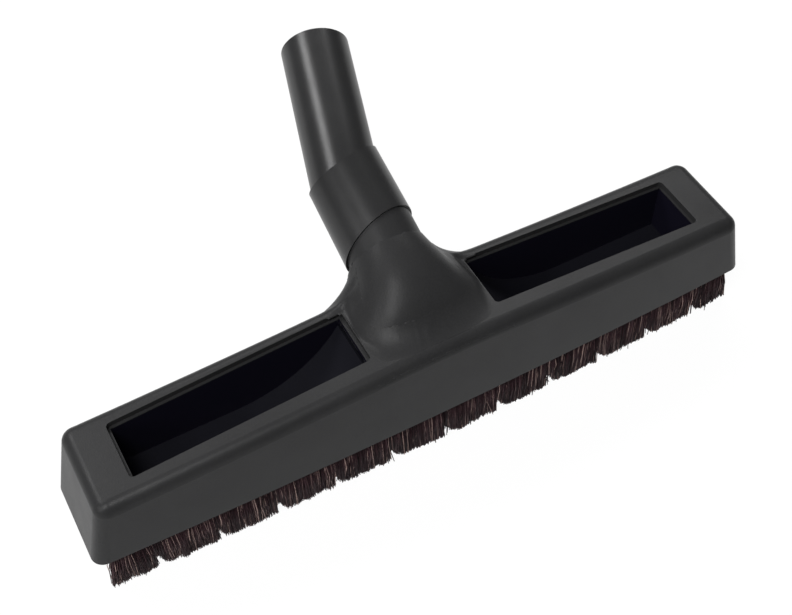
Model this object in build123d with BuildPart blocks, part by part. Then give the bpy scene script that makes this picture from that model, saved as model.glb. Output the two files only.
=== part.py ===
"""Floor brush head for a vacuum cleaner: a bowed box housing with two open wells, a swivelling
bent tube at the back and two rows of bristles underneath.  Millimetres, +Z up, the origin on the
floor under the middle of the housing, +X along the brush and +Y towards the tube."""

import os
from math import asin, atan, cos, degrees, radians, sin, tan

from build123d import *

# Housing, measured at its bottom rim
length = 363.0
end_width = 53.1
front_bow = 3.3
back_bow = 3.0
end_height = 38.8
roof_slope = 3.7
end_draft = 13.5
side_draft = 1.3
corner_round = 6.6
top_round = 6.2
wall = 2.4

# Open wells in the top, one each side of the neck
bridge_half = 33.4
well_end_margin = 28.7
front_rail = 10.95
back_rail = 10.55
recess_depth = 3.0
recess_round = 2.2
ledge = 1.5
well_wall = 2.0
roof_over_throat = 6.0

# Sole plate that closes the wells from below, with the two ramps that lead to the neck
plate_bottom = 7.4
plate_thickness = 2.5
plate_end_margin = 13.7
plate_gap = 0.2
slot_side_margin = 2.4
ramp_foot = 92.0
ramp_thickness = 2.0
ramp_top_gap = 1.2

# Screws that hold the sole plate to bosses in the end boxes
screw_inset = 21.5
screw_spread = 16.0
screw_shank = 1.6
screw_head = 3.1
screw_length = 12.0
screw_gap = 0.05
boss_wall = 1.7
end_box_roof = 8.4
end_box_length = 13.0

# Bristle rows and the strips that hold them
bristle_drop = 25.0
bristle_thickness = 4.4
bristle_end_inset = 0.8
strip_thickness = 5.0
strip_bottom = 0.8
strip_height = 9.2
strip_end_inset = 8.0
strip_gap = 0.15
rail_hollow_top = 30.0
rail_step = 1.0
rail_rib = 2.0
rail_ribs = 7
notches = 11
notch_pitch = 30.8
notch_width = 5.0
notch_depth = 8.0

# Neck, and the seam where the elbow's sleeve slides round its end
neck_rise = 20.0
seam_back = 39.0
seam_height = 57.9
seam_gap = 0.6
sleeve_wall = 1.0
sleeve_gap = 0.1
sleeve_slant = 18.0
sleeve_turn = 45.0
sleeve_margin = 1.0
neck_wall = 2.4
neck_shoulder = 0.3
neck_foot_back = 6.0
neck_foot_height = 36.0
neck_foot_rise = 78.0
neck_foot_half = 46.0
neck_foot_depth = 27.0
neck_waist_back = 17.0
neck_waist_height = 48.0
neck_waist_rise = 54.0
neck_waist_half = 28.5
neck_waist_depth = 25.0
neck_fullness = 0.65
flare_foot_back = 20.0
flare_foot_height = 38.0
flare_foot_rise = 84.0
flare_foot_half = 58.0
flare_foot_depth = 7.0
flare_middle_back = 21.5
flare_middle_height = 46.5
flare_middle_rise = 72.0
flare_middle_half = 34.0
flare_middle_depth = 10.0
flare_top_back = 27.0
flare_top_height = 55.5
flare_top_rise = 50.0
flare_top_half = 22.0
flare_top_depth = 14.0
flare_fullness = 0.60
round_fullness = 0.5523
swivel_gap = 0.05
swivel_length = 18.0
duct_wall = 3.0

# Elbow with its collar, its bent tube and the socket for a wand
elbow_turn = 108.6
elbow_bend = 16.5
bend_height = 39.5
collar_taper = 0.8
collar_step = 0.6
tube_length = 74.0
socket_radius = 16.0
socket_depth = 38.0
tube_wall = 1.5
collar_extra = 3.0
spigot_wall = 2.0
mouth_chamfer = 0.6

# Seal and snap ring on the spigot
seal_place = 5.0
seal_width = 2.4
seal_depth = 1.0
ring_place = 13.0
ring_width = 1.6
ring_depth = 0.9
ring_gap = 0.15
ring_opening = 40.0

os.makedirs("parts", exist_ok=True)

# Places that follow from the sizes above
half_length = length / 2
half_width = end_width / 2
rim = Plane.XY.offset(bristle_drop)
bow_of = {-1: front_bow, 1: -back_bow}
well_front = -(half_width - front_rail)
well_back = half_width - back_rail
well_outer = half_length - well_end_margin
hole_front = well_front + ledge
hole_back = well_back - ledge
hole_inner = bridge_half + ledge
hole_outer = well_outer - ledge
hole_middle = (hole_front + hole_back) / 2
hole_depth = hole_back - hole_front
bridge_height = end_height + (half_length - bridge_half) * tan(radians(roof_slope))
roof_top = bridge_height + bridge_half * tan(radians(roof_slope / 2))
throat_top = bridge_height - roof_over_throat
plate_top = plate_bottom + plate_thickness
plate_half = half_length - plate_end_margin
slot_thickness = strip_thickness + 2 * strip_gap
strip_half = half_length - strip_end_inset
strip_top = strip_bottom + strip_height
hollow_half = strip_half - rail_hollow_top * tan(radians(end_draft))
screw_x = half_length - screw_inset
tube_outer = socket_radius + tube_wall
seam_radius = tube_outer + collar_extra
neck_end_radius = seam_radius - sleeve_wall - sleeve_gap
swivel_radius = neck_end_radius - neck_wall
air_radius = swivel_radius - spigot_wall
screw_places = [(sx * screw_x, hole_middle + sy * screw_spread / 2) for sx in (-1, 1) for sy in (-1, 1)]


def neck_plane(back, height, rise):
    """A cross section of the neck, given by its centre and by how far its normal rises from level."""
    normal = (0, cos(radians(rise)), sin(radians(rise)))
    return Plane((0, back, bristle_drop + height), x_dir=(1, 0, 0), z_dir=normal)


# The swivel axis rises towards the back; the neck ends inside the elbow's sleeve
seam_plane = neck_plane(seam_back, seam_height, neck_rise)
neck_waist_plane = neck_plane(neck_waist_back, neck_waist_height, neck_waist_rise)
neck_foot_plane = neck_plane(neck_foot_back, neck_foot_height, neck_foot_rise)
flare_foot_plane = neck_plane(flare_foot_back, flare_foot_height, flare_foot_rise)
flare_middle_plane = neck_plane(flare_middle_back, flare_middle_height, flare_middle_rise)
flare_top_plane = neck_plane(flare_top_back, flare_top_height, flare_top_rise)
sleeve_reach = seam_radius * tan(radians(sleeve_slant)) + sleeve_margin
shoulder_plane = seam_plane.offset(-sleeve_reach)
seat_plane = seam_plane.offset(sleeve_reach)
swivel_axis = Axis(seam_plane.origin, seam_plane.z_dir)


def turned(angle):
    """The direction square to the swivel axis that lies at an angle from upwards, towards +X."""
    return seam_plane.x_dir * sin(radians(angle)) - seam_plane.y_dir * cos(radians(angle))


# The elbow bends to one side, and its sleeve and collar end on slanted planes
bend_side = turned(elbow_turn)
swivel_section = Plane(seat_plane.origin, x_dir=bend_side, z_dir=bend_side.cross(seam_plane.z_dir))
bend_point = seam_plane.origin + seam_plane.z_dir * bend_height
tube_direction = seam_plane.z_dir * cos(radians(elbow_bend)) + bend_side * sin(radians(elbow_bend))
tube_plane = Plane(bend_point, z_dir=tube_direction)
sleeve_lean = seam_plane.z_dir * cos(radians(sleeve_slant)) - turned(sleeve_turn) * sin(radians(sleeve_slant))
sleeve_edge = Plane(seam_plane.origin, z_dir=sleeve_lean)
collar_end_radius = seam_radius - bend_height * tan(radians(collar_taper))
collar_spare = collar_end_radius - collar_step - tube_outer / cos(radians(elbow_bend))
collar_slant = atan(collar_spare / tan(radians(elbow_bend)) / collar_end_radius)
collar_end = Plane(bend_point, z_dir=seam_plane.z_dir * cos(collar_slant) - bend_side * sin(collar_slant))


def rim_outline(level):
    """Draw the housing's outline at a height above the rim, drawn in by the mould draft."""
    x_end = half_length - level * tan(radians(end_draft))
    y_end = half_width - level * tan(radians(side_draft))
    with BuildSketch(rim.offset(level)) as outline:
        with BuildLine():
            ThreePointArc((-x_end, -y_end), (0, -y_end - front_bow), (x_end, -y_end))
            Line((x_end, -y_end), (x_end, y_end))
            ThreePointArc((x_end, y_end), (0, y_end - back_bow), (-x_end, y_end))
            Line((-x_end, y_end), (-x_end, -y_end))
        make_face()
    return outline.sketch


def bowed_band(side, inset, thickness, reach):
    """A band that follows the front (-1) or back (+1) edge of the housing, drawn on the floor plan."""
    bow = bow_of[side]
    y_end = half_width + bow * (1 - (reach / half_length) ** 2) - inset
    y_mid = half_width + bow - inset
    with BuildSketch() as band:
        with BuildLine():
            ThreePointArc((-reach, side * y_end), (0, side * y_mid), (reach, side * y_end))
            Line((reach, side * y_end), (reach, side * (y_end - thickness)))
            ThreePointArc(
                (reach, side * (y_end - thickness)),
                (0, side * (y_mid - thickness)),
                (-reach, side * (y_end - thickness)),
            )
            Line((-reach, side * (y_end - thickness)), (-reach, side * y_end))
        make_face()
    return band.sketch


def oval(plane, half_across, half_deep, fullness):
    """A closed oval of four curves; a higher fullness pushes its corners out towards a box."""
    across = half_across * fullness
    deep = half_deep * fullness
    with BuildSketch(plane) as outline:
        with BuildLine():
            Bezier((half_across, 0), (half_across, deep), (across, half_deep), (0, half_deep))
            Bezier((0, half_deep), (-across, half_deep), (-half_across, deep), (-half_across, 0))
            Bezier((-half_across, 0), (-half_across, -deep), (-across, -half_deep), (0, -half_deep))
            Bezier((0, -half_deep), (across, -half_deep), (half_across, -deep), (half_across, 0))
        make_face()
    return outline.sketch


def roof_plane(side):
    """The sloping top face on one side of the neck, with its origin at the middle of the well."""
    slope = radians(roof_slope)
    x_mid = (bridge_half + well_outer) / 2
    z_mid = bristle_drop + end_height + (half_length - x_mid) * tan(slope)
    downhill = (cos(slope), 0, -side * sin(slope))
    return Plane((side * x_mid, 0, z_mid), x_dir=downhill, z_dir=(side * sin(slope), 0, cos(slope)))


# Housing: drafted box under a roof that falls to both ends, with the neck growing out of it
with BuildPart() as housing:
    loft_height = roof_top + 2 * top_round
    eaves_z = bristle_drop + end_height
    bridge_z = bristle_drop + bridge_height
    above_z = bristle_drop + loft_height + top_round
    loft([rim_outline(0), rim_outline(loft_height)], ruled=True)
    with BuildSketch(Plane.XZ):
        with BuildLine():
            right_slope = Line((half_length, eaves_z), (bridge_half, bridge_z))
            left_slope = Line((-bridge_half, bridge_z), (-half_length, eaves_z))
            ThreePointArc(right_slope @ 1, (0, bristle_drop + roof_top), left_slope @ 0)
            Polyline(left_slope @ 1, (-half_length, above_z), (half_length, above_z), right_slope @ 0)
        make_face()
    extrude(amount=end_width, both=True, mode=Mode.SUBTRACT)
    fillet(housing.edges().filter_by(lambda e: abs((e % 0.5).Z) > 0.9), corner_round)
    roof_faces = housing.faces().filter_by(lambda f: f.normal_at().Z > 0.9)
    roof_border = [e for e in roof_faces.edges() if abs((e % 0.5).Y) < 0.99 or abs(e.center().X) > well_outer]
    fillet(roof_border, top_round)

    # The neck grows out of the roof, turns back and ends in a round spout; a flare spreads it on the back rail
    shoulder_radius = neck_end_radius + neck_shoulder
    loft([
        oval(neck_foot_plane, neck_foot_half, neck_foot_depth, neck_fullness),
        oval(neck_waist_plane, neck_waist_half, neck_waist_depth, neck_fullness),
        oval(shoulder_plane, shoulder_radius, shoulder_radius, round_fullness),
    ])
    loft([
        oval(flare_foot_plane, flare_foot_half, flare_foot_depth, flare_fullness),
        oval(flare_middle_plane, flare_middle_half, flare_middle_depth, flare_fullness),
        oval(flare_top_plane, flare_top_half, flare_top_depth, flare_fullness),
    ])
    with BuildSketch(shoulder_plane):
        Circle(neck_end_radius)
    extrude(amount=2 * sleeve_reach)

    # Wells: a shallow recess parallel to the roof, then an open hole down to the sole plate
    recess_length = (well_outer - bridge_half) / cos(radians(roof_slope))
    for side in (-1, 1):
        with BuildSketch(roof_plane(side)) as recess:
            with Locations((0, (well_front + well_back) / 2)):
                RectangleRounded(recess_length, well_back - well_front, recess_round)
        extrude(amount=-recess_depth, mode=Mode.SUBTRACT)
        extrude(recess.sketch, amount=seam_height, mode=Mode.SUBTRACT)
        with BuildSketch(rim.offset(plate_top)):
            with Locations((side * (hole_inner + hole_outer) / 2, hole_middle)):
                Rectangle(hole_outer - hole_inner, hole_depth)
        extrude(amount=seam_height, mode=Mode.SUBTRACT)

    # One long throat under the bridge joins the two wells above the sole plate
    with BuildSketch(rim):
        with Locations((0, hole_middle)):
            Rectangle(2 * hole_outer, hole_depth)
    extrude(amount=throat_top, mode=Mode.SUBTRACT)
    with BuildSketch(rim):
        with Locations((0, hole_middle)):
            Rectangle(2 * (plate_half + plate_gap), hole_depth)
    extrude(amount=plate_top, mode=Mode.SUBTRACT)

    # End boxes, each with two bosses for the sole plate's screws
    with BuildSketch(rim.offset(plate_top)):
        for side in (-1, 1):
            with Locations((side * (hole_outer + well_wall + end_box_length / 2), hole_middle)):
                Rectangle(end_box_length, hole_depth)
        with Locations(*screw_places):
            Circle(screw_shank + screw_gap + boss_wall, mode=Mode.SUBTRACT)
    extrude(amount=end_height - end_box_roof - plate_top, mode=Mode.SUBTRACT)
    with BuildSketch(rim.offset(plate_top)):
        with Locations(*screw_places):
            Circle(screw_shank + screw_gap)
    extrude(amount=screw_length, mode=Mode.SUBTRACT)

    # Slots for the brush strips, hollow above them between cross ribs
    for side in (-1, 1):
        with BuildSketch(rim):
            add(bowed_band(side, wall, slot_thickness, strip_half))
        extrude(amount=strip_top, mode=Mode.SUBTRACT)
        with BuildSketch(rim.offset(strip_top)):
            add(bowed_band(side, wall + rail_step, slot_thickness - 2 * rail_step, hollow_half))
            with GridLocations(2 * strip_half / (rail_ribs + 1), 0, rail_ribs, 1):
                Rectangle(rail_rib, 4 * half_width, mode=Mode.SUBTRACT)
        extrude(amount=rail_hollow_top - strip_top, mode=Mode.SUBTRACT)

    # The round bore that the elbow turns in, with a groove for the snap ring, and the duct below it
    with BuildSketch(seat_plane.offset(-swivel_length)):
        Circle(swivel_radius)
    extrude(amount=swivel_length, mode=Mode.SUBTRACT)
    with BuildSketch(seat_plane.offset(-ring_place - ring_width - ring_gap)):
        Circle(swivel_radius + ring_depth + ring_gap)
    extrude(amount=ring_width + 2 * ring_gap, mode=Mode.SUBTRACT)
    with BuildSketch(rim.offset(throat_top - duct_wall)) as duct_start:
        with Locations((0, hole_middle)):
            Ellipse(bridge_half - duct_wall, hole_depth / 2 - duct_wall)
    with BuildSketch(seat_plane.offset(duct_wall - swivel_length)) as duct_end:
        Circle(air_radius)
    loft([duct_start.sketch, duct_end.sketch], mode=Mode.SUBTRACT)

housing.part.label = "housing"
export_step(housing.part, "parts/housing.step")

# Sole plate: a long plate with the suction slot, and two ramps that sweep up to the bridge
ramp_end = hole_inner + ramp_top_gap
ramp_rise = throat_top - ramp_top_gap - plate_top
ramp_run = ramp_foot - ramp_end
ramp_radius = (ramp_run ** 2 + ramp_rise ** 2) / (2 * ramp_rise)
ramp_turn = asin(ramp_run / ramp_radius)
with BuildPart() as sole_plate:
    with BuildSketch(rim.offset(plate_bottom)):
        with Locations((0, hole_middle)):
            Rectangle(2 * plate_half, hole_depth - 2 * plate_gap)
            Rectangle(2 * ramp_foot, hole_depth - 2 * plate_gap - 2 * slot_side_margin, mode=Mode.SUBTRACT)
    extrude(amount=plate_thickness)
    for side in (-1, 1):
        ramp_centre = (side * ramp_foot, bristle_drop + plate_top + ramp_radius)
        ramp_start = 270 if side < 0 else 270 - degrees(ramp_turn)
        with BuildSketch(Plane.XZ.offset(-hole_middle)):
            with BuildLine():
                upper = CenterArc(ramp_centre, ramp_radius, ramp_start, degrees(ramp_turn))
                lower = CenterArc(ramp_centre, ramp_radius + ramp_thickness, ramp_start, degrees(ramp_turn))
                Line(upper @ 0, lower @ 0)
                Line(upper @ 1, lower @ 1)
            make_face()
        extrude(amount=hole_depth / 2 - plate_gap, both=True)
    with Locations(*[Plane(rim.offset(plate_bottom).from_local_coords((x, y, 0)), z_dir=(0, 0, -1)).location
                     for x, y in screw_places]):
        CounterSinkHole(screw_shank + screw_gap, screw_head + screw_gap, depth=plate_thickness)
sole_plate.part.label = "sole_plate"
export_step(sole_plate.part, "parts/sole_plate.step")

# Countersunk screws, one solid each, gathered in one node
with BuildPart() as screw:
    with BuildSketch(Plane.XZ):
        with BuildLine():
            Polyline(
                (0, plate_bottom),
                (screw_head, plate_bottom),
                (screw_shank, plate_bottom + screw_head - screw_shank),
                (screw_shank, plate_bottom + screw_length),
                (0, plate_bottom + screw_length + screw_shank),
                close=True,
            )
        make_face()
    revolve(axis=Axis.Z)
sole_screws = Compound(children=[Pos(x, y, bristle_drop) * screw.part for x, y in screw_places])
sole_screws.label = "sole_screws"
export_step(sole_screws, "parts/sole_screws.step")

# Brush strips and their bristles, front and rear
for side, place in ((-1, "front"), (1, "rear")):
    with BuildPart() as strip:
        with BuildSketch(rim.offset(strip_bottom)):
            add(bowed_band(side, wall + strip_gap, strip_thickness, strip_half - strip_gap))
        extrude(amount=strip_height)
    strip.part.label = place + "_strip"
    export_step(strip.part, "parts/" + place + "_strip.step")

    with BuildPart() as bristles:
        with BuildSketch():
            add(bowed_band(side, wall + strip_gap + (strip_thickness - bristle_thickness) / 2,
                           bristle_thickness, strip_half - bristle_end_inset))
        extrude(amount=bristle_drop + strip_bottom)
        with BuildSketch(Plane.XZ):
            with GridLocations(notch_pitch, 0, notches, 1):
                Polygon((-notch_width / 2, 0), (notch_width / 2, 0), (0, notch_depth), align=None)
        extrude(amount=end_width, both=True, mode=Mode.SUBTRACT)
    bristles.part.label = place + "_bristles"
    export_step(bristles.part, "parts/" + place + "_bristles.step")

# Bent tube of the elbow, from the collar's slanted end to the mouth for the wand
with BuildPart() as tube:
    with BuildSketch(tube_plane.offset(-seam_radius)):
        Circle(tube_outer)
    extrude(amount=seam_radius + tube_length)
    split(bisect_by=collar_end, keep=Keep.TOP)
    chamfer(tube.faces().sort_by(Axis(bend_point, tube_direction))[-1].edges(), mouth_chamfer)

# Elbow: spigot, tapered collar with a sleeve round the neck's end, and the bent tube
bend_overlap = air_radius * tan(radians(elbow_bend))
spigot_radius = swivel_radius - swivel_gap
with BuildPart() as elbow:
    with BuildSketch(shoulder_plane):
        Circle(seam_radius + sleeve_reach * tan(radians(collar_taper)))
    extrude(amount=sleeve_reach + bend_height + seam_radius, taper=collar_taper)
    split(bisect_by=sleeve_edge, keep=Keep.TOP)
    split(bisect_by=collar_end, keep=Keep.BOTTOM)
    with BuildSketch(shoulder_plane):
        Circle(neck_end_radius + sleeve_gap)
    extrude(amount=2 * sleeve_reach + seam_gap, mode=Mode.SUBTRACT)
    add(tube.part)
    with BuildSketch(swivel_section):
        with BuildLine():
            Polyline(
                (air_radius, seam_gap),
                (air_radius, -swivel_length + swivel_gap),
                (spigot_radius, -swivel_length + swivel_gap),
                (spigot_radius, -ring_place - ring_width - ring_gap),
                (spigot_radius - ring_depth, -ring_place - ring_width - ring_gap),
                (spigot_radius - ring_depth, -ring_place + ring_gap),
                (spigot_radius, -ring_place + ring_gap),
                (spigot_radius, -seal_place - seal_width),
                (spigot_radius - seal_depth, -seal_place - seal_width),
                (spigot_radius - seal_depth, -seal_place),
                (spigot_radius, -seal_place),
                (spigot_radius, seam_gap),
                close=True,
            )
        make_face()
    revolve(axis=swivel_axis)
    with BuildSketch(seat_plane):
        Circle(air_radius)
    extrude(amount=bend_height - sleeve_reach + bend_overlap, mode=Mode.SUBTRACT)
    with BuildSketch(tube_plane):
        Circle(air_radius)
    extrude(amount=tube_length, mode=Mode.SUBTRACT)
    with BuildSketch(tube_plane.offset(tube_length)):
        Circle(socket_radius)
    extrude(amount=-socket_depth, mode=Mode.SUBTRACT)
elbow.part.label = "swivel_elbow"
export_step(elbow.part, "parts/swivel_elbow.step")

# Rubber seal in the spigot's upper groove
with BuildPart() as seal:
    with BuildSketch(swivel_section):
        with Locations(((spigot_radius - seal_depth / 2), -seal_place - seal_width / 2)):
            Rectangle(seal_depth, seal_width)
    revolve(axis=swivel_axis)
seal.part.label = "swivel_seal"
export_step(seal.part, "parts/swivel_seal.step")

# Split snap ring: it sits in the neck's groove and keeps the spigot from pulling out
with BuildPart() as snap_ring:
    with BuildSketch(swivel_section):
        with Locations((swivel_radius, -ring_place - ring_width / 2)):
            Rectangle(2 * (ring_depth - ring_gap), ring_width)
    revolve(axis=swivel_axis, revolution_arc=360 - ring_opening)
snap_ring.part.label = "snap_ring"
export_step(snap_ring.part, "parts/snap_ring.step")
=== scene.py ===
# %% [markdown]
# A floor brush head for a vacuum cleaner, finished and lit in Blender.
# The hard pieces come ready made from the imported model, so this lesson spends its time on four
# things: the finishes of the moulded plastic, the soft sweep where the neck grows out of the roof,
# the two rows of hair, and the light.

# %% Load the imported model
import math

import bpy
import numpy as np
from mathutils import Matrix, Vector
from mathutils.bvhtree import BVHTree


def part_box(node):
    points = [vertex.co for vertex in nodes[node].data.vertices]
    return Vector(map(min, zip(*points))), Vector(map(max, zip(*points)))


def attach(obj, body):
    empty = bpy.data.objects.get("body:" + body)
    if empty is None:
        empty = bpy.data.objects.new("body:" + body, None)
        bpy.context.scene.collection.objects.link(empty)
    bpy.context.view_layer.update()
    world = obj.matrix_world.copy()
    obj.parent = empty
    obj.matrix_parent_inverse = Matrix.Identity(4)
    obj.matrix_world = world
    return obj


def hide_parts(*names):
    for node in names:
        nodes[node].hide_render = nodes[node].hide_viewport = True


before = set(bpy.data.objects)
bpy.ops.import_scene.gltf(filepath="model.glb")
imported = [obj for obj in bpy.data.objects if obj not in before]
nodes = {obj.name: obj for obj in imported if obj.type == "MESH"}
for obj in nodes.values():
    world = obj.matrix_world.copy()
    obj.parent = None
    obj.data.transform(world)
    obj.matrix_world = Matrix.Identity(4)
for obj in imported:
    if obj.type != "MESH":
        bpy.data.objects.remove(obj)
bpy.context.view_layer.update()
print("nodes:", ", ".join(sorted(nodes)))

# %% [markdown]
# The camera stands in front and to the left, high above the floor, turned a little about its own
# line of sight. A camera can be placed by hand, but these angles were fitted to the edges of the
# housing, so they are given as angles about the point that is looked at.

# %% Camera
IMAGE_WIDTH = 792
FOCAL_PIXELS = 1250.3
SENSOR_MM = 36.0
AIM = Vector((-0.00447, 0.01452, 0.05971))
DISTANCE = 0.608
AZIMUTH = math.radians(-27.616)
ELEVATION = math.radians(52.399)
ROLL = math.radians(-1.25)

back = Vector((
    math.sin(AZIMUTH) * math.cos(ELEVATION),
    -math.cos(AZIMUTH) * math.cos(ELEVATION),
    math.sin(ELEVATION),
))
level_right = Vector((math.cos(AZIMUTH), math.sin(AZIMUTH), 0))
level_up = back.cross(level_right)
right = level_right * math.cos(ROLL) + level_up * math.sin(ROLL)
up = level_up * math.cos(ROLL) - level_right * math.sin(ROLL)

bpy.ops.object.select_all(action="DESELECT")
bpy.ops.object.camera_add(location=AIM + back * DISTANCE)
camera = bpy.context.object
camera.name = "photo_camera"
camera.rotation_euler = Matrix((right, up, back)).transposed().to_euler()
camera.data.sensor_width = SENSOR_MM
camera.data.lens = FOCAL_PIXELS / IMAGE_WIDTH * SENSOR_MM
camera.data.clip_start = 0.01
bpy.context.scene.camera = camera
print("lens:", round(camera.data.lens, 2), "mm")

# %% [markdown]
# Shader patterns read better as sums than as boxes and wires. This small class wraps an output
# socket, so that two patterns can be added or multiplied in plain Python and each sum adds its own
# Math node. Everything that isn't a sum comes from one method, which takes the kind of node, its
# settings and what goes into its sockets.

# %% Sockets that can be added and multiplied


class Pattern:
    """An output socket that can be used in sums."""

    def __init__(self, finish, socket):
        self.finish = finish
        self.socket = socket

    def sum(self, operation, first, second):
        return self.finish.node("ShaderNodeMath", {"operation": operation}, {0: first, 1: second})

    def __add__(self, other):
        return self.sum("ADD", self, other)

    def __radd__(self, other):
        return self.sum("ADD", other, self)

    def __sub__(self, other):
        return self.sum("SUBTRACT", self, other)

    def __rsub__(self, other):
        return self.sum("SUBTRACT", other, self)

    def __mul__(self, other):
        return self.sum("MULTIPLY", self, other)

    def __rmul__(self, other):
        return self.sum("MULTIPLY", other, self)


class Finish:
    """A material made of nodes, with one Principled shader."""

    def __init__(self, name):
        self.material = bpy.data.materials.new(name)
        self.material.use_nodes = True
        self.tree = self.material.node_tree
        self.shader = self.tree.nodes["Principled BSDF"]

    def node(self, kind, settings=None, sockets=None, out=0):
        made = self.tree.nodes.new(kind)
        for key, value in (settings or {}).items():
            if key == "stops":
                ramp = made.color_ramp.elements
                while len(ramp) < len(value):
                    ramp.new(0.5)
                for element, (place, colour) in zip(ramp, value):
                    element.position = place
                    element.color = colour
            else:
                setattr(made, key, value)
        for key, value in (sockets or {}).items():
            self.feed(made.inputs[key], value)
        return Pattern(self, made.outputs[out])

    def feed(self, socket, value):
        if isinstance(value, Pattern):
            self.tree.links.new(value.socket, socket)
        else:
            socket.default_value = value

    def place(self, scale=(1, 1, 1)):
        """Where a point is on the piece, in metres, stretched for a pattern that runs one way."""
        where = self.node("ShaderNodeTexCoord", out="Object")
        return self.node("ShaderNodeMapping", sockets={"Vector": where, "Scale": scale})

    def noise(self, size, detail=3.0, roughness=0.5, scale=(1, 1, 1)):
        """Soft random patches, each about this many metres across, from 0 to 1."""
        sockets = {"Vector": self.place(scale), "Scale": 1 / size}
        sockets.update({"Detail": detail, "Roughness": roughness})
        return self.node("ShaderNodeTexNoise", sockets=sockets)

    def ramp(self, value, *stops):
        return self.node("ShaderNodeValToRGB", {"stops": stops}, {0: value})

    def bump(self, height, depth):
        return self.node("ShaderNodeBump", sockets={"Strength": 1.0, "Distance": depth, "Height": height})

    def finish(self, **sockets):
        for key, value in sockets.items():
            self.feed(self.shader.inputs[key.replace("_", " ").title().replace("Ior", "IOR")], value)
        return self.material


def grey(level):
    return (level, level, level, 1)


print("pattern helpers ready")

# %% [markdown]
# The housing and the elbow are black moulded plastic with a fine matt grain. A flat dark colour
# looks like a hole in the picture, so three things vary: the tone in wide soft clouds, the gloss in
# smaller ones, and the surface itself in a grain of about half a millimetre. Inside the wells the
# colour is pushed down to near black as painted shade, for the shade that falls in those deep
# recesses; a mask made from the place on the piece picks out those walls.

# %% Black moulded plastic
WELL_INNER = 0.0346
WELL_OUTER = 0.1517
WELL_FRONT = -0.0143
WELL_BACK = 0.0147
ROOF_FALL = 0.0647
LEDGE_LEVEL = 0.0721
CLOUD_SIZE = 0.03
GLOSS_SIZE = 0.012
SPECKLE_SIZE = 0.0009
GRAIN_SIZE = 0.00055
# The darkest stop of the plastics' random tone; on the housing it is also the painted shade inside the
# wells.
DARKEST_AND_WELL_SHADE = (0.005, 0.0045, 0.009, 1)


def well_shade_mask(finish):
    """1 on the walls of the two wells below their ledges, 0 elsewhere: where shade is painted."""
    where = finish.node("ShaderNodeTexCoord", out="Object")
    split = finish.node("ShaderNodeSeparateXYZ", sockets={"Vector": where})
    x, y, z = (Pattern(finish, socket) for socket in split.socket.node.outputs)
    reach = finish.node("ShaderNodeMath", {"operation": "ABSOLUTE"}, {0: x})
    level = z + reach * ROOF_FALL
    return (
        reach.sum("GREATER_THAN", reach, WELL_INNER)
        * reach.sum("LESS_THAN", reach, WELL_OUTER)
        * y.sum("GREATER_THAN", y, WELL_FRONT)
        * y.sum("LESS_THAN", y, WELL_BACK)
        * z.sum("LESS_THAN", level, LEDGE_LEVEL)
    )


def moulded_plastic(name, dark, pale, gloss, sheen, grain_depth, well_shade=0.0):
    finish = Finish(name)
    clouds = finish.noise(CLOUD_SIZE, detail=4)
    speckle = finish.noise(SPECKLE_SIZE, detail=2)
    grain = finish.noise(GRAIN_SIZE, detail=2, roughness=0.6)
    tone = clouds * 0.6 + speckle * 0.4
    # The housing's well walls are pushed to near black: painted shade for the shade in those recesses.
    if well_shade:
        tone = tone - well_shade_mask(finish) * well_shade
    return finish.finish(
        base_color=finish.ramp(tone, (0.0, DARKEST_AND_WELL_SHADE), (0.3, dark), (0.7, pale)),
        roughness=gloss + finish.noise(GLOSS_SIZE) * 0.10,
        specular_ior_level=sheen,
        normal=finish.bump(grain, grain_depth),
    )


# The housing paints shade into its wells at full strength.
housing_plastic = moulded_plastic(
    "housing_plastic", (0.015, 0.015, 0.0155, 1), (0.021, 0.021, 0.0215, 1),
    gloss=0.31, sheen=0.09, grain_depth=0.00006, well_shade=1.0,
)
elbow_plastic = moulded_plastic(
    "elbow_plastic", (0.012, 0.012, 0.0124, 1), (0.017, 0.017, 0.0174, 1),
    gloss=0.26, sheen=0.25, grain_depth=0.00003,
)
sole_plastic = moulded_plastic(
    "sole_plastic", (0.004, 0.004, 0.0058, 1), (0.006, 0.006, 0.0088, 1),
    gloss=0.58, sheen=0.06, grain_depth=0.00004,
)
print("plastics:", housing_plastic.name, elbow_plastic.name, sole_plastic.name)

# %% [markdown]
# The strips that hold the hair are extruded, so their marks run along their length. The same noise,
# squeezed in one direction, turns clouds into streaks. Rubber gets a dull bloom, and plated steel
# gets fine scratches that change its gloss more than its colour.

# %% Extruded strip, rubber and steel


def extruded_strip(name):
    finish = Finish(name)
    streaks = finish.noise(0.0012, scale=(0.03, 1, 1))
    return finish.finish(
        base_color=finish.ramp(streaks, (0.3, grey(0.012)), (0.7, grey(0.022))),
        roughness=0.4 + streaks * 0.2,
        normal=finish.bump(streaks, 0.00008),
    )


def soft_rubber(name):
    finish = Finish(name)
    bloom = finish.noise(0.004)
    return finish.finish(
        base_color=finish.ramp(bloom, (0.35, grey(0.010)), (0.75, grey(0.022))),
        roughness=0.62 + bloom * 0.2,
        normal=finish.bump(finish.noise(0.0006), 0.00003),
    )


def plated_steel(name, dark, pale):
    finish = Finish(name)
    scratches = finish.noise(0.0016, detail=5, scale=(1, 1, 0.2))
    return finish.finish(
        base_color=finish.ramp(scratches, (0.3, dark), (0.7, pale)),
        metallic=1.0,
        roughness=0.24 + scratches * 0.22,
        normal=finish.bump(scratches, 0.00003),
    )


strip_plastic = extruded_strip("strip_plastic")
seal_rubber = soft_rubber("seal_rubber")
screw_steel = plated_steel("screw_steel", grey(0.38), grey(0.58))
ring_steel = plated_steel("ring_steel", grey(0.22), grey(0.36))

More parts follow.
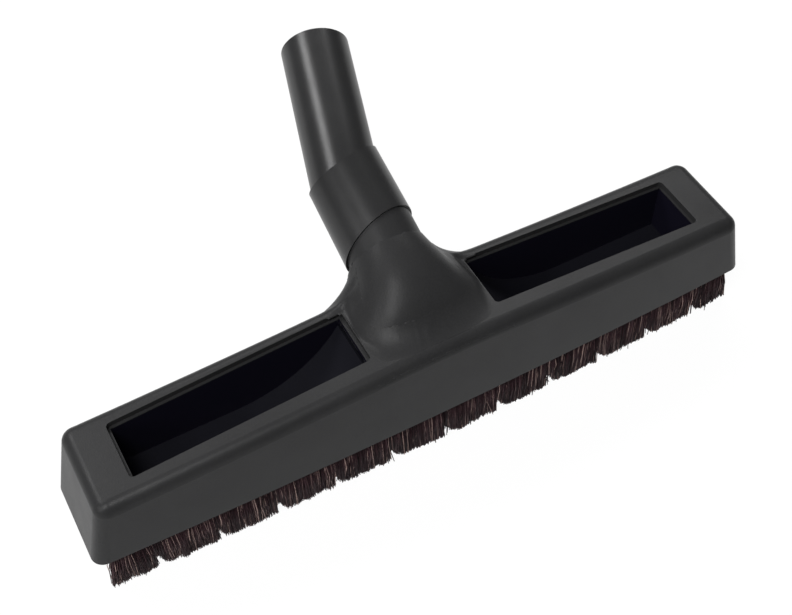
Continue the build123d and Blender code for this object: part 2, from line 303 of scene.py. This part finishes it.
NODE_FINISHES = {
    "housing": housing_plastic,
    "swivel_elbow": elbow_plastic,
    "sole_plate": sole_plastic,
    "sole_screws": screw_steel,
    "front_strip": strip_plastic,
    "rear_strip": strip_plastic,
    "swivel_seal": seal_rubber,
    "snap_ring": ring_steel,
}
for name, material in NODE_FINISHES.items():
    node = nodes[name]
    node.data.materials.clear()
    node.data.materials.append(material)
    print(name, "is", material.name)

# %% [markdown]
# On the real moulding the neck grows out of the roof in one soft sweep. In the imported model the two
# meet in a crease. A Bevel modifier needs clean loops of edges, and this mesh is loose triangles, so
# the sweep is found another way: a flat grid is dropped onto the housing, a ball is rolled over it,
# and the places the ball can't reach are where the sweep lies. First, the drop. The wells count as
# level with the roof, so that the ball doesn't fall into them, and behind the spout's limit the grid
# repeats its last height, so that it doesn't fall off the back.

# %% Drop a grid onto the housing
GRID_STEP = 0.0008
GRID_HALF = (0.066, 0.044)
GRID_MIDDLE_Y = -0.004
RAIL_LINE = -0.019
SPOUT_LIMIT = 0.038
LEDGE_WIDTH = 0.002
DROP_FROM = 0.2
NOTHING_THERE = 0.05

grid_faces = [int(2 * half / GRID_STEP) for half in GRID_HALF]
bpy.ops.object.select_all(action="DESELECT")
bpy.ops.mesh.primitive_grid_add(
    x_subdivisions=grid_faces[0], y_subdivisions=grid_faces[1], size=2, location=(0, GRID_MIDDLE_Y, 0)
)
sweep = bpy.context.object
sweep.name = "neck_sweep"
sweep.scale = (*GRID_HALF, 1)
bpy.ops.object.transform_apply(location=True, rotation=True, scale=True)

housing_mesh = nodes["housing"].data
housing_tree = BVHTree.FromPolygons(
    [v.co for v in housing_mesh.vertices], [tuple(p.vertices) for p in housing_mesh.polygons]
)


def height_at(x, y):
    hit = housing_tree.ray_cast(Vector((x, y, DROP_FROM)), Vector((0, 0, -1)))[0]
    return NOTHING_THERE if hit is None else hit.z


flat = np.array([v.co for v in sweep.data.vertices])
order = np.lexsort((flat[:, 0], flat[:, 1]))
rows = (grid_faces[1] + 1, grid_faces[0] + 1)
grid_x = flat[order, 0].reshape(rows)
grid_y = flat[order, 1].reshape(rows)
found = [height_at(x, min(y, SPOUT_LIMIT)) for x, y in zip(grid_x.ravel(), grid_y.ravel())]
ground = np.array(found).reshape(rows)
roof = np.array([height_at(x, RAIL_LINE) for x in grid_x[0]])
over_wells = (grid_y > WELL_FRONT - LEDGE_WIDTH) & (grid_y < WELL_BACK + LEDGE_WIDTH)
ground = np.where(over_wells, np.maximum(ground, roof), ground)
print("heights from", round(ground.min() * 1000, 1), "to", round(ground.max() * 1000, 1), "mm")

# %% [markdown]
# Rolling a ball takes two passes: the heights grow by the ball, then shrink by it again, and every
# hollow tighter than the ball stays filled. The ball's radius is the radius of the sweep.

# %% Roll a ball along the crease
BALL_RADIUS = 0.026


def grown(heights, radius):
    reach = int(radius / GRID_STEP)
    padded = np.pad(heights, reach, mode="edge")
    best = heights + radius
    for i in range(-reach, reach + 1):
        for j in range(-reach, reach + 1):
            apart = math.hypot(i, j) * GRID_STEP
            if apart < radius:
                part = padded[reach + i:reach + i + rows[0], reach + j:reach + j + rows[1]]
                best = np.maximum(best, part + math.sqrt(radius ** 2 - apart ** 2))
    return best


filled = -grown(-grown(ground, BALL_RADIUS), BALL_RADIUS) - ground
print("filling made over", filled.size, "points")

# %% [markdown]
# The filling fades out at the inner edges of the wells and at the back wall, where the real sweep
# runs out too. It also stays clear of the elbow's sleeve, which turns about the seam: near the seam
# the lift is held down to a few hundredths of a millimetre.

# %% Fade the filling out
WELL_EDGE = 0.0334
WELL_FADE = 0.007
RAIL_FADE = 0.005
BACK_WALL = 0.0245
BACK_FADE = 0.006
SPOUT_HALF = 0.024
SPOUT_FADE = 0.004
SPOUT_END = 0.033
LOWEST_ROOF = 0.068
SWEEP_REACH = 0.044
SEAM_Y = 0.0390
SEAM_Z = 0.0829
SEAM_ALONG = (0.9397, 0.3420)
SLEEVE_LOW = 0.0078
SLEEVE_FADE = 0.0008
SLEEVE_ROOM = 0.00003
FREE_LIFT = 0.01


def eased(value):
    value = np.clip(value, 0, 1)
    return value * value * (3 - 2 * value)


inside_edge = eased((WELL_EDGE - np.abs(grid_x)) / WELL_FADE)
beside_wells = eased((np.abs(grid_y) - WELL_BACK) / RAIL_FADE)
off_back = eased((BACK_WALL - grid_y) / BACK_FADE)
on_spout = eased((SPOUT_HALF - np.abs(grid_x)) / SPOUT_FADE) * (grid_y < SPOUT_END)
lifted = filled * np.maximum(inside_edge, beside_wells) * np.maximum(off_back, on_spout)
lifted = np.where((ground > LOWEST_ROOF) & (np.abs(grid_x) < SWEEP_REACH), lifted, 0)

below_sleeve = (SEAM_Y - grid_y) * SEAM_ALONG[0] + (SEAM_Z - ground) * SEAM_ALONG[1]
allowed = SLEEVE_ROOM + FREE_LIFT * eased((below_sleeve - SLEEVE_LOW) / SLEEVE_FADE)
lifted = np.minimum(lifted, allowed)
print("sweep up to", round(lifted.max() * 1000, 2), "mm deep")

# %% [markdown]
# Now the grid takes those heights. Only the faces that lift off the housing are kept, without the
# tall ones that would hang down the back wall like a curtain. A Solidify modifier gives the rest a
# back, so that the skin is closed.

# %% Turn the filling into a skin
SKIN_SINK = 0.00004
SKIN_THICKNESS = 0.0006
TALLEST_FACE = 0.004

heights = np.empty(len(flat))
heights[order] = (ground + lifted - SKIN_SINK).ravel()
for vertex, height in zip(sweep.data.vertices, heights):
    vertex.co.z = height
lift = np.empty(len(flat))
lift[order] = lifted.ravel()
bpy.ops.object.mode_set(mode="EDIT")
bpy.ops.mesh.select_mode(type="FACE")
bpy.ops.mesh.select_all(action="DESELECT")
bpy.ops.object.mode_set(mode="OBJECT")
for face in sweep.data.polygons:
    corners = list(face.vertices)
    hidden = lift[corners].max() < SKIN_SINK / 4
    face.select = bool(hidden or np.ptp(heights[corners]) > TALLEST_FACE)
bpy.ops.object.mode_set(mode="EDIT")
bpy.ops.mesh.delete(type="FACE")
bpy.ops.object.mode_set(mode="OBJECT")
solid = sweep.modifiers.new("back", "SOLIDIFY")
solid.thickness = SKIN_THICKNESS
solid.offset = -1
bpy.ops.object.modifier_apply(modifier=solid.name)
sweep.data.shade_smooth()
sweep.data.materials.append(housing_plastic)
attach(sweep, "head")
print(sweep.name, "has", len(sweep.data.polygons), "faces")

# %% [markdown]
# Each bristle row is a plain block in the imported model. The real thing is some thousands of hairs,
# set in tufts, trimmed level and nicked at even steps. One hair is modelled from a cylinder
# with three sides, cut once across so that it can bend, and the rows are then filled with copies.
# All the copies of a row share one mesh, because thousands of separate objects would be slow to draw.

# %% One hair
HAIR_SIDES = 3
HAIR_WIDTH = 0.00050
HAIR_TIP = 0.95
HAIR_CUTS = 1

bpy.ops.object.select_all(action="DESELECT")
bpy.ops.mesh.primitive_cylinder_add(
    vertices=HAIR_SIDES, radius=HAIR_WIDTH / 2, depth=1, end_fill_type="NGON", location=(0, 0, -0.5)
)
hair = bpy.context.object
bpy.ops.object.transform_apply(location=True, rotation=True, scale=True)
bpy.ops.object.mode_set(mode="EDIT")
for cut in range(1, HAIR_CUTS + 1):
    bpy.ops.mesh.select_all(action="SELECT")
    bpy.ops.mesh.bisect(plane_co=(0, 0, -cut / (HAIR_CUTS + 1)), plane_no=(0, 0, 1))
bpy.ops.object.mode_set(mode="OBJECT")
hair_points = np.array([v.co for v in hair.data.vertices])
hair_points[:, :2] *= (1 + hair_points[:, 2:3] * (1 - HAIR_TIP))
hair_faces = [tuple(p.vertices) for p in hair.data.polygons]
bpy.data.objects.remove(hair)
print("one hair:", len(hair_points), "points,", len(hair_faces), "faces")

# %% [markdown]
# A row follows the bow of the housing's edge. Its line can be read from the block it stands for: the
# top corners of the block give the inner and the outer edge, and a parabola through each is the bow.
# Each row is named with its block, the side it splays to and the seed of its random numbers, so that
# every run gives the same brush.

# %% Where a row runs
ROWS = (
    ("front_hair", "front_bristles", -1, 11),
    ("rear_hair", "rear_bristles", 1, 12),
)
TOP_BAND = 0.0005


def row_edges(node):
    """The far and the near edge of a bristle block, as parabolas of y over x, and its box."""
    low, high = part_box(node)
    points = np.array([v.co for v in nodes[node].data.vertices])
    top = points[points[:, 2] > high.z - TOP_BAND]
    first = np.polyfit(top[:, 0], top[:, 1], 2)
    over = top[:, 1] > np.polyval(first, top[:, 0])
    far = np.polyfit(top[over, 0], top[over, 1], 2)
    near = np.polyfit(top[~over, 0], top[~over, 1], 2)
    return far, near, low, high


for name, node, outward, seed in ROWS:
    far, near, low, high = row_edges(node)
    print(name, "middle from", round(near[2] * 1000, 2), "to", round(far[2] * 1000, 2), "mm")

# %% [markdown]
# The roots stand in rough lines across the strip, pushed about by chance and crowded towards the
# outer side, which is the side that shows.

# %% Lay out the roots
HAIRS_ACROSS = 14
HAIR_STEP = 0.00036
OUTER_CROWDING = 1.6


def lay_out_roots(node, outward, rng):
    """Where each hair of a row leaves its strip, and the box of the row."""
    far, near, low, high = row_edges(node)
    along = int((high.x - low.x) / HAIR_STEP)
    count = along * HAIRS_ACROSS
    x = np.repeat(np.linspace(low.x + HAIR_WIDTH, high.x - HAIR_WIDTH, along), HAIRS_ACROSS)
    x = x + rng.normal(0, HAIR_STEP * 0.4, count)
    layer = (np.tile(np.arange(HAIRS_ACROSS), along) + rng.uniform(0.1, 0.9, count)) / HAIRS_ACROSS
    depth = layer ** OUTER_CROWDING
    outer, inner = (near, far) if outward < 0 else (far, near)
    y = np.polyval(outer, x) * (1 - depth) + np.polyval(inner, x) * depth
    return x, y, low, high


for name, node, outward, seed in ROWS:
    x, y, low, high = lay_out_roots(node, outward, np.random.default_rng(seed))
    print(name, "has", len(x), "roots")

# %% [markdown]
# Hairs in one tuft lean the same way and share a tone and a trim. Each hair then adds a little lean
# of its own, the whole row splays outwards, and a few stray hairs lean much further than the rest.

# %% Tufts and leans
TUFT_STEP = 0.0034
TUFT_LEAN = 0.012
TUFT_TRIM = 0.00015
HAIR_LEAN = (0.020, 0.015)
STRAY_LEAN = (0.14, 0.05)
STRAY_SHARE = 0.012
SPLAY_LEAST = 0.02
SPLAY_SPREAD = 0.04


def gather_tufts(x, low, rng):
    """What the hairs of a tuft share: leans along x and y, a tone and a trim."""
    tuft = np.floor((x - low.x) / TUFT_STEP).astype(int)
    tufts = tuft.max() + 2
    lean_x = rng.normal(0, TUFT_LEAN, tufts)[tuft]
    lean_y = rng.normal(0, TUFT_LEAN, tufts)[tuft]
    tone = rng.uniform(0, 1, tufts)[tuft]
    trim = rng.normal(0, TUFT_TRIM, tufts)[tuft]
    return lean_x, lean_y, tone, trim


def lean_hairs(tuft_x, tuft_y, outward, rng):
    """The lean of each hair along x and y, as sideways run over length."""
    count = len(tuft_x)
    stray = rng.uniform(0, 1, count) < STRAY_SHARE
    lean_x = tuft_x + rng.normal(0, HAIR_LEAN[0], count) + stray * rng.normal(0, STRAY_LEAN[0], count)
    splay = outward * (SPLAY_LEAST + SPLAY_SPREAD * rng.uniform(0, 1, count))
    own_y = rng.normal(0, HAIR_LEAN[1], count)
    return lean_x, tuft_y + splay + own_y + stray * rng.normal(0, STRAY_LEAN[1], count)


print("tufts every", TUFT_STEP * 1000, "mm")

# %% [markdown]
# The brush is trimmed level, with a nick at even steps. A nick has one upright side and one that
# curves back down to the level, as if a round cutter had been pressed in and drawn along.

# %% Nicks
NICK_STEP = 0.0308
NICK_WIDTH = 0.0024
NICK_ROUND = 0.0060
NICK_DEPTH = 0.0075


def nick_depth(x):
    """How much shorter than the rest a hair at x is cut."""
    past_nick = (x + NICK_WIDTH / 3) % NICK_STEP
    rounding = np.clip((past_nick - NICK_WIDTH) / NICK_ROUND, 0, 1)
    nick = NICK_DEPTH * (1 - np.sqrt(1 - (1 - rounding) ** 2)) * (past_nick > NICK_WIDTH)
    return nick + NICK_DEPTH * (past_nick <= NICK_WIDTH)


print("nicks every", NICK_STEP * 1000, "mm,", NICK_DEPTH * 1000, "mm deep")

# %% [markdown]
# Every hair is the one hair again: turned about its own length, stretched to its length, leant and
# bent. At the two ends of a row, where nothing holds the hairs back, they spread outwards.

# %% Place the copies
HAIR_BEND = 0.0006
END_SPLAY = 0.0055
END_ZONE = 0.014


def place_hairs(x, y, lean_x, lean_y, length, high, rng):
    """The points of every hair in a row, as hairs by points by three."""
    count = len(x)
    turn = rng.uniform(0, 2 * math.pi, count)
    bend_x, bend_y = rng.normal(0, HAIR_BEND, (2, count))
    end_pull = np.clip((np.abs(x) - high.x + END_ZONE) / END_ZONE, 0, 1) ** 2
    fall = -hair_points[:, 2]
    across = hair_points[:, :2]
    px = across[:, 0][None] * np.cos(turn)[:, None] - across[:, 1][None] * np.sin(turn)[:, None]
    py = across[:, 0][None] * np.sin(turn)[:, None] + across[:, 1][None] * np.cos(turn)[:, None]
    bow = fall * (1 - fall) * 4
    points = np.empty((count, len(fall), 3))
    points[:, :, 0] = x[:, None] + px + (lean_x * length)[:, None] * fall + bend_x[:, None] * bow
    points[:, :, 0] += (np.sign(x) * end_pull * END_SPLAY)[:, None] * fall ** 0.7
    points[:, :, 1] = y[:, None] + py + (lean_y * length)[:, None] * fall ** 1.5
    points[:, :, 1] += bend_y[:, None] * bow
    points[:, :, 2] = high.z - length[:, None] * fall
    return points


print("hair placer ready")

# %% [markdown]
# The steps above come together in one function. The tone of each hair and the place along it are
# stored on the mesh as two attributes, because the finish needs both and a mesh of copies has no
# other way to tell one hair from the next.

# %% Build a row
TIP_UNEVEN = 0.00022
PALE_SHARE = 0.13


def hair_row(name, node, outward, seed):
    """A mesh of hairs that fills the space of a bristle block; outward is the side it splays to."""
    rng = np.random.default_rng(seed)
    x, y, low, high = lay_out_roots(node, outward, rng)
    count = len(x)
    tuft_x, tuft_y, tuft_tone, tuft_trim = gather_tufts(x, low, rng)
    lean_x, lean_y = lean_hairs(tuft_x, tuft_y, outward, rng)
    tip = np.abs(rng.normal(0, TIP_UNEVEN, count)) + np.abs(tuft_trim) + nick_depth(x)
    points = place_hairs(x, y, lean_x, lean_y, high.z - low.z - tip, high, rng)
    tone = np.clip(0.55 * rng.uniform(0, 1, count) ** 1.6 + 0.35 * tuft_tone, 0, 1)
    tone = np.where(rng.uniform(0, 1, count) < PALE_SHARE, rng.uniform(0.75, 1, count), tone)

    per_hair = len(hair_points)
    faces = [
        tuple(corner + number * per_hair for corner in face)
        for number in range(count)
        for face in hair_faces
    ]
    mesh = bpy.data.meshes.new(name)
    mesh.from_pydata(points.reshape(-1, 3).tolist(), [], faces)
    shades = mesh.attributes.new("hair_tone", "FLOAT", "POINT")
    shades.data.foreach_set("value", np.repeat(tone, per_hair).astype(np.float32))
    along_hair = mesh.attributes.new("hair_fall", "FLOAT", "POINT")
    along_hair.data.foreach_set("value", np.tile(-hair_points[:, 2], count).astype(np.float32))
    row = bpy.data.objects.new(name, mesh)
    bpy.context.scene.collection.objects.link(row)
    mesh.shade_smooth()
    print(name, "has", count, "hairs and", sum(len(f) - 2 for f in hair_faces) * count, "triangles")
    return row


print("row builder ready")

# %% [markdown]
# Hair is dark brown with some paler strands. Its tone was stored hair by hair on the mesh, so the
# finish only turns that number into a colour, darkens the roots where little light gets in, and
# adds fine streaks along the length.

# %% Hair finish


def brown_hair(name):
    finish = Finish(name)
    tone = finish.node("ShaderNodeAttribute", {"attribute_name": "hair_tone"}, out="Fac")
    fall = finish.node("ShaderNodeAttribute", {"attribute_name": "hair_fall"}, out="Fac")
    streaks = finish.noise(0.0012, scale=(1, 1, 0.15))
    value = tone * 0.82 + streaks * 0.14 + fall * 0.06
    colour = finish.ramp(
        value,
        (0.08, (0.006, 0.003, 0.004, 1)),
        (0.40, (0.022, 0.008, 0.011, 1)),
        (0.70, (0.050, 0.026, 0.030, 1)),
        (0.98, (0.38, 0.27, 0.24, 1)),
    )
    return finish.finish(base_color=colour, roughness=0.50 + streaks * 0.2, specular_ior_level=0.12)


hair_brown = brown_hair("hair_brown")
for name, node, outward, seed in ROWS:
    row = hair_row(name, node, outward, seed)
    row.data.materials.append(hair_brown)
    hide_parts(node)
    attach(row, "head")

# %% [markdown]
# The picture was taken on plain white. A wide floor carries the object's soft shadow; what the
# camera sees of it is lifted to white with Light Path, so no extra light falls on the object.

# %% Floor
FLOOR_SIZE = 60.0
FLOOR_LIFT = 0.95


def white_floor(name):
    finish = Finish(name)
    mottle = finish.noise(0.4)
    paper = finish.ramp(mottle, (0.2, grey(0.86)), (0.8, grey(0.90)))
    finish.finish(base_color=paper, roughness=0.9, specular_ior_level=0.0)
    path = finish.tree.nodes.new("ShaderNodeLightPath")
    seen = Pattern(finish, path.outputs["Is Camera Ray"]) + Pattern(finish, path.outputs["Is Glossy Ray"])
    seen = seen + Pattern(finish, path.outputs["Is Transmission Ray"])
    glow = finish.node("ShaderNodeEmission", sockets={"Color": grey(1.0), "Strength": 1.0})
    paper_shader = Pattern(finish, finish.shader.outputs["BSDF"])
    mixed = finish.node("ShaderNodeMixShader", sockets={0: seen * FLOOR_LIFT, 1: paper_shader, 2: glow})
    finish.feed(finish.tree.nodes["Material Output"].inputs["Surface"], mixed)
    return finish.material


bpy.ops.object.select_all(action="DESELECT")
bpy.ops.mesh.primitive_plane_add(size=FLOOR_SIZE, location=(0, 0, 0))
floor = bpy.context.object
floor.name = "floor"
floor.data.materials.append(white_floor("floor_paper"))
print("floor", FLOOR_SIZE, "m across")

# %% [markdown]
# Black plastic shows its form by what it mirrors, so each lamp stands where one face or curve throws
# it at the camera. A small box behind on the left draws the bright line down the tube, one on the
# left makes the end of the housing pale, one above the front left gives the neck its soft highlight,
# and a broad one behind lays a sheen on the roof. The room itself gives a low even light.

# %% Lamps
ROOM_STRENGTH = 0.16


def soft_box(name, place, aim, width, height, watts):
    bpy.ops.object.select_all(action="DESELECT")
    bpy.ops.object.light_add(type="AREA", location=place)
    lamp = bpy.context.object
    lamp.name = name
    lamp.data.shape = "RECTANGLE"
    lamp.data.size = width
    lamp.data.size_y = height
    lamp.data.energy = watts
    lamp.rotation_euler = (Vector(aim) - Vector(place)).to_track_quat("-Z", "Y").to_euler()
    print(name, watts, "W")


OBJECT_MIDDLE = (0, 0.03, 0.06)
soft_box("back_left_key", (-0.66, 0.92, 1.30), OBJECT_MIDDLE, 0.35, 0.45, 12)
soft_box("left_box", (-1.25, -0.30, 0.9), OBJECT_MIDDLE, 0.8, 0.6, 10)
soft_box("top_box", (-0.50, -0.42, 1.25), OBJECT_MIDDLE, 0.40, 0.6, 15)
soft_box("back_box", (0.65, 1.30, 1.40), OBJECT_MIDDLE, 1.7, 0.7, 28)

room = bpy.data.worlds.new("room")
bpy.context.scene.world = room
room.use_nodes = True
room.node_tree.nodes["Background"].inputs["Color"].default_value = grey(0.9)
room.node_tree.nodes["Background"].inputs["Strength"].default_value = ROOM_STRENGTH
bpy.context.scene.view_settings.view_transform = "Standard"
